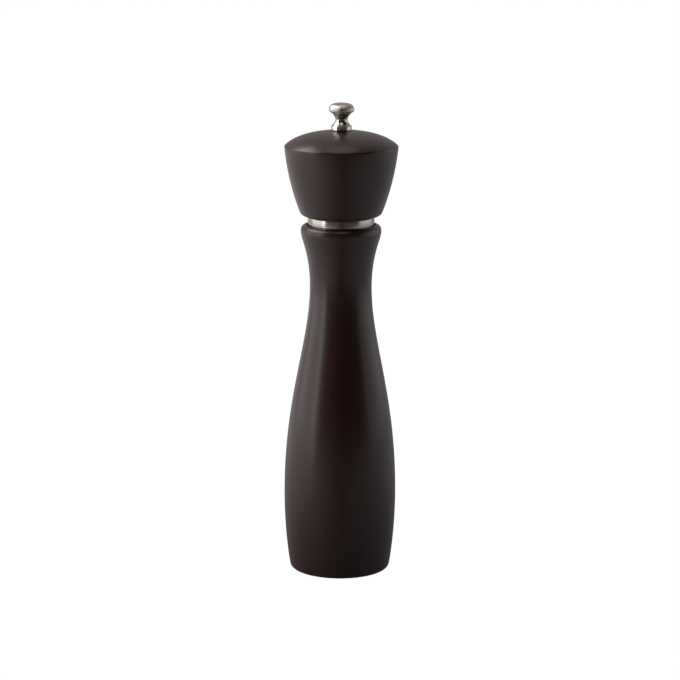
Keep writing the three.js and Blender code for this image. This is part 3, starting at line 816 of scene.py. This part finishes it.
def screw_places(circle_radius):
    angles = (2 * math.pi * (i + 0.5) / SCREWS_IN_SET for i in range(SCREWS_IN_SET))
    return [(circle_radius * math.cos(a), circle_radius * math.sin(a)) for a in angles]


def screw_holes(circle_radius, bottom, top):
    """The tools that cut a set of screw holes through a piece."""
    low_end, high_end = bottom - CUT_PAST, top + CUT_PAST
    outlines = (circle(SCREW_HOLE_RADIUS, 24, x, y) for x, y in screw_places(circle_radius))
    return [prism(outline, low_end, high_end) for outline in outlines]


def square_hole(bottom, top):
    """The tool that cuts the shaft's square hole through a piece."""
    return prism(rectangle(SQUARE_HOLE, SQUARE_HOLE), bottom - CUT_PAST, top + CUT_PAST)


def drive_plate_mesh():
    bottom, top, outer = low("drive_plate").z, high("drive_plate").z, high("drive_plate").x
    edge = outer_corners(box_outline(outer - DRIVE_PLATE_EDGE, outer, bottom, top, rounding=0.3), 2)
    disc = turned([(0, bottom)] + edge + [(0, top)], 96)
    holes = [square_hole(bottom, top), *screw_holes(DRIVE_SCREW_RING, bottom, top)]
    return combined(disc, holes, "DIFFERENCE")


def screw_mesh():
    """A slotted pan-head wood screw, point up, with the underside of its head at z = 0."""
    head_radius, head_height = SCREW_HEAD
    root = SCREW_SHANK - SCREW_THREAD_DEPTH
    thread_ends = (SCREW_THREAD_START, SCREW_LENGTH - SCREW_THREAD_END)
    side = [
        (root * min(1, (SCREW_LENGTH - z) / SCREW_POINT_LENGTH) + SCREW_TIP_RADIUS, z)
        for _, z in thread_line(root, *thread_ends, SCREW_PITCH)
    ]

    def shape(radius, angle, z):
        if not thread_ends[0] <= z <= thread_ends[1]:
            return radius, z
        phase = (z / SCREW_PITCH - angle / (2 * math.pi)) % 1
        crest = max(0, 1 - abs(2 * phase - 1) * SCREW_THREAD_SHARPNESS)
        fade = min(1, (z - thread_ends[0]) / SCREW_PITCH, (thread_ends[1] - z) / SCREW_PITCH)
        return radius + SCREW_THREAD_DEPTH * crest * max(0, fade), z

    crown_centre = (head_radius - SCREW_CROWN_ROUNDING, SCREW_CROWN_ROUNDING - head_height)
    outline = (
        [(0, -head_height)]
        + arc(*crown_centre, SCREW_CROWN_ROUNDING, -88, 0, 10)
        + [(head_radius, -SCREW_HEAD_EDGE), (head_radius - SCREW_HEAD_EDGE, 0), (root, 0)]
    )
    blank = turned(outline + side + [(0, SCREW_LENGTH)], 40, shape)
    slot_floor = -(1 - SLOT_DEPTH_SHARE) * head_height
    slot = prism(rectangle(3 * head_radius, SLOT_WIDTH), -head_height - CUT_PAST, slot_floor)
    return combined(blank, [slot], "DIFFERENCE")


# ---------------------------------------------------------------- grinding mechanism

PLATE_HOLE_RADIUS = 13.6
MOUNTING_SCREW_RING = 19.2
HOUSING_WALL = 1
# Hole radius, outer radius and lowest height.
HUB = (5.55, 7.6, 34)
# Width and height.
ARM = (3.2, 2.4)
# How much wider an arm is where it joins the hub and the cup, and how soon it is narrow again.
ARM_HUB_FLARE = (1.35, 1.6)
ARM_CUP_FLARE = (1.5, 1.8)
BUSH_RADIUS = 5.3
BUSH_FLANGE_TOP = 33.7
BUSH_FLANGE_ROUNDING = 0.3
BUSH_TOP_ROUNDING = 0.4
BUSH_FILLET = 0.15
ROTOR_TEETH = 14
ROTOR_TOOTH_DEPTH = 1.3
ROTOR_BOTTOM_RADIUS = 12
ROTOR_TOP_RADIUS = 6.5
ROTOR_FACE_RADIUS = 5
ROTOR_ROWS = 28
STATOR_TEETH = 18
STATOR_TOOTH_DEPTH = 0.9
STATOR_THROAT_Z = 17
STATOR_MOUTH_RADIUS = 13.9
STATOR_ROWS = 26
STATOR_EDGE = 0.2
BURR_GAP = 1.3
TOOTH_TWIST = math.radians(50)
TOOTH_STEPS = 12
TOOTH_CREST_AT = 0.78
TOOTH_CLEARANCE = 0.05
ROTOR_EDGE_HEIGHT = 0.1
ROTOR_EDGE_SHRINK = 0.01
STATOR_RIM = 0.3
SPRING_WIRE = 0.5
SPRING_TURNS = 5
SPRING_CLOSED_PITCH = 1.06
SPRING_RADIUS = 5.1
SPRING_STEPS_PER_TURN = 40
SPRING_SIDES = 14
WASHER_HOLE_RADIUS = 3
CLIP_RADII = (2.35, 4.8)
CLIP_MOUTH = math.radians(70)
CLIP_STEPS = 48


def plate_mesh():
    bottom, top = low("mounting_plate").z, high("mounting_plate").z
    section = box_outline(PLATE_HOLE_RADIUS, high("mounting_plate").x, bottom, top, rounding=0.35)
    return combined(turned(section, 144), screw_holes(MOUNTING_SCREW_RING, bottom, top), "DIFFERENCE")


def housing_mesh():
    bottom, top, outer = low("burr_housing").z, high("burr_housing").z, high("burr_housing").x
    inner = outer - HOUSING_WALL
    hub_hole, hub_radius, hub_bottom = HUB
    width, height = ARM
    cup = turned(box_outline(inner, outer, bottom, top, rounding=0.3), 144)
    hub = turned(box_outline(hub_hole, hub_radius, hub_bottom, top, rounding=0.4), 96)
    arm_start, arm_end = (hub_hole + hub_radius) / 2, (inner + outer) / 2
    section = box_outline(-width / 2, width / 2, top - height, top, rounding=0.5)
    widths = (
        (arm_start, ARM_HUB_FLARE[0]),
        (arm_start + ARM_HUB_FLARE[1], 1),
        (arm_end - ARM_CUP_FLARE[1], 1),
        (arm_end, ARM_CUP_FLARE[0]),
    )
    rings = [[(x, y * flare, z) for y, z in section] for x, flare in widths]
    arms = [moved(lofted(rings), turn=2 * math.pi * i / 3) for i in range(3)]
    return combined(cup, [hub, *arms], "UNION")


def tooth(angle, z, count, start, span, twist):
    """How far across a tooth a point lies, from its root at 0 to its crest at 1."""
    phase = ((angle - twist * (z - start) / span) * count / (2 * math.pi)) % 1
    return phase / TOOTH_CREST_AT if phase < TOOTH_CREST_AT else (1 - phase) / (1 - TOOTH_CREST_AT)


def rotor_radius(z):
    bottom, top = low("rotor_burr").z, high("rotor_burr").z
    return ROTOR_BOTTOM_RADIUS + (ROTOR_TOP_RADIUS - ROTOR_BOTTOM_RADIUS) * (z - bottom) / (top - bottom)


def rotor_mesh():
    bottom, top = low("rotor_burr").z, high("rotor_burr").z
    heights = (bottom + (top - bottom) * i / ROTOR_ROWS for i in range(ROTOR_ROWS + 1))
    side = [(rotor_radius(z), z) for z in heights]

    def shape(radius, angle, z):
        if radius <= ROTOR_FACE_RADIUS:
            return radius, z
        crest = tooth(angle, z, ROTOR_TEETH, bottom, top - bottom, TOOTH_TWIST)
        edge = max(0, 1 - min(z - bottom, top - z) / ROTOR_EDGE_HEIGHT)
        cut = radius - TOOTH_CLEARANCE - ROTOR_TOOTH_DEPTH * (1 - crest)
        return cut * (1 - ROTOR_EDGE_SHRINK * edge), z

    outline = [(0, bottom), (ROTOR_FACE_RADIUS, bottom), *side, (ROTOR_FACE_RADIUS, top), (0, top)]
    blank = turned(outline, ROTOR_TEETH * TOOTH_STEPS, shape)
    return combined(blank, [square_hole(bottom, top)], "DIFFERENCE")


def stator_mesh():
    bottom, top, outer = low("stator_burr").z, high("stator_burr").z, high("stator_burr").x
    throat = rotor_radius(STATOR_THROAT_Z) + BURR_GAP
    side = []
    for i in range(STATOR_ROWS + 1):
        z = bottom + (top - bottom) * i / STATOR_ROWS
        climb = max(0, (z - STATOR_THROAT_Z) / (top - STATOR_THROAT_Z))
        if climb:
            side.append((throat + (STATOR_MOUTH_RADIUS - throat) * climb, z))
        else:
            side.append((rotor_radius(z) + BURR_GAP, z))

    def shape(radius, angle, z):
        if radius > STATOR_MOUTH_RADIUS + TOOTH_CLEARANCE:
            return radius, z
        crest = tooth(angle, z, STATOR_TEETH, bottom, top - bottom, -TOOTH_TWIST)
        cut = radius + TOOTH_CLEARANCE + STATOR_TOOTH_DEPTH * (1 - crest)
        return min(cut, outer - STATOR_RIM), z

    rim = [(outer - STATOR_EDGE, top), (outer, top - STATOR_EDGE)]
    rim += [(outer, bottom + STATOR_EDGE), (outer - STATOR_EDGE, bottom)]
    return turned(side + rim, STATOR_TEETH * TOOTH_STEPS, shape)


def washer_mesh():
    bottom, top, outer = low("rotor_washer").z, high("rotor_washer").z, high("rotor_washer").x
    return turned(box_outline(WASHER_HOLE_RADIUS, outer, bottom, top, rounding=0.15), 72)


def clip_mesh():
    bottom, top = low("rotor_clip").z, high("rotor_clip").z
    section = box_outline(*CLIP_RADII, bottom, top, rounding=0.15, steps=2)
    rings = []
    for i in range(CLIP_STEPS + 1):
        angle = CLIP_MOUTH / 2 + (2 * math.pi - CLIP_MOUTH) * i / CLIP_STEPS
        rings.append([(r * math.cos(angle), r * math.sin(angle), z) for r, z in section])
    return lofted(rings)


def bush_mesh():
    bottom, top = low("shaft_bush").z, high("shaft_bush").z
    flange_centre = high("shaft_bush").x - BUSH_FLANGE_ROUNDING
    outline = (
        [(0, bottom)]
        + arc(flange_centre, bottom + BUSH_FLANGE_ROUNDING, BUSH_FLANGE_ROUNDING, -90, 0, 4)
        + arc(flange_centre, BUSH_FLANGE_TOP - BUSH_FLANGE_ROUNDING, BUSH_FLANGE_ROUNDING, 0, 90, 4)
        + [(BUSH_RADIUS + BUSH_FILLET, BUSH_FLANGE_TOP), (BUSH_RADIUS, BUSH_FLANGE_TOP + BUSH_FILLET)]
        + arc(BUSH_RADIUS - BUSH_TOP_ROUNDING, top - BUSH_TOP_ROUNDING, BUSH_TOP_ROUNDING, 0, 90, 4)
        + [(0, top)]
    )
    return combined(turned(outline, 96), [square_hole(bottom, top)], "DIFFERENCE")


def spring_mesh():
    """A compression spring whose first and last turns lie closed."""
    bottom, top = low("mechanism_spring").z + SPRING_WIRE, high("mechanism_spring").z - SPRING_WIRE
    open_pitch = (top - bottom - 2 * SPRING_CLOSED_PITCH) / (SPRING_TURNS - 2)
    rings = []
    for i in range(SPRING_TURNS * SPRING_STEPS_PER_TURN + 1):
        turns = i / SPRING_STEPS_PER_TURN
        closed = min(turns, 1) + max(0, turns - SPRING_TURNS + 1)
        z = bottom + SPRING_CLOSED_PITCH * closed + open_pitch * (turns - closed)
        angle = 2 * math.pi * turns
        ring = []
        for k in range(SPRING_SIDES):
            around = 2 * math.pi * k / SPRING_SIDES
            r = SPRING_RADIUS + SPRING_WIRE * math.cos(around)
            ring.append((r * math.cos(angle), r * math.sin(angle), z + SPRING_WIRE * math.sin(around)))
        rings.append(ring)
    return lofted(rings)


# ---------------------------------------------------------------- build

add_camera()
add_world()
add_floor()
for softbox in SOFTBOXES:
    add_softbox(*softbox)
bpy.context.scene.view_settings.view_transform = "Standard"

piece("turned_body", "mill_body", body_mesh(), BODY_WOOD)
piece("turned_head", "mill_head", head_mesh(), HEAD_WOOD)
piece("collar_band", "collar_ring", ring_mesh(), RING_STEEL)
piece("knurled_knob", "adjusting_knob", knob_mesh(), NICKEL, 60)
piece("square_shaft", "drive_shaft", shaft_mesh(), SHAFT_ALUMINIUM)
piece("head_drive_plate", "drive_plate", drive_plate_mesh(), ZINC)
piece("foot_plate", "mounting_plate", plate_mesh(), ZINC)
piece("cast_housing", "burr_housing", housing_mesh(), CAST_ALUMINIUM)
piece("toothed_stator", "stator_burr", stator_mesh(), BURR_STEEL, 30)
piece("toothed_rotor", "rotor_burr", rotor_mesh(), BURR_STEEL, 30)
piece("thrust_washer", "rotor_washer", washer_mesh(), ZINC)
piece("retaining_clip", "rotor_clip", clip_mesh(), SPRING_STEEL)
piece("flanged_bush", "shaft_bush", bush_mesh(), ACETAL)

# Names, circle radius, and how far each slot is turned from the one before.
SCREW_SETS = (("mounting_screw", MOUNTING_SCREW_RING, 0.4), ("drive_plate_screw", DRIVE_SCREW_RING, 1.1))
for set_name, circle_radius, slot_turn in SCREW_SETS:
    for i, (x, y) in enumerate(screw_places(circle_radius)):
        node = f"{set_name}_{i + 1}"
        seat = low(node).z + SCREW_HEAD[1]
        piece(f"slotted_{node}", node, moved(screw_mesh(), x, y, seat, slot_turn * (i + 1)), ZINC)

spring = piece("coil_spring", "mechanism_spring", spring_mesh(), SPRING_STEEL)
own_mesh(spring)
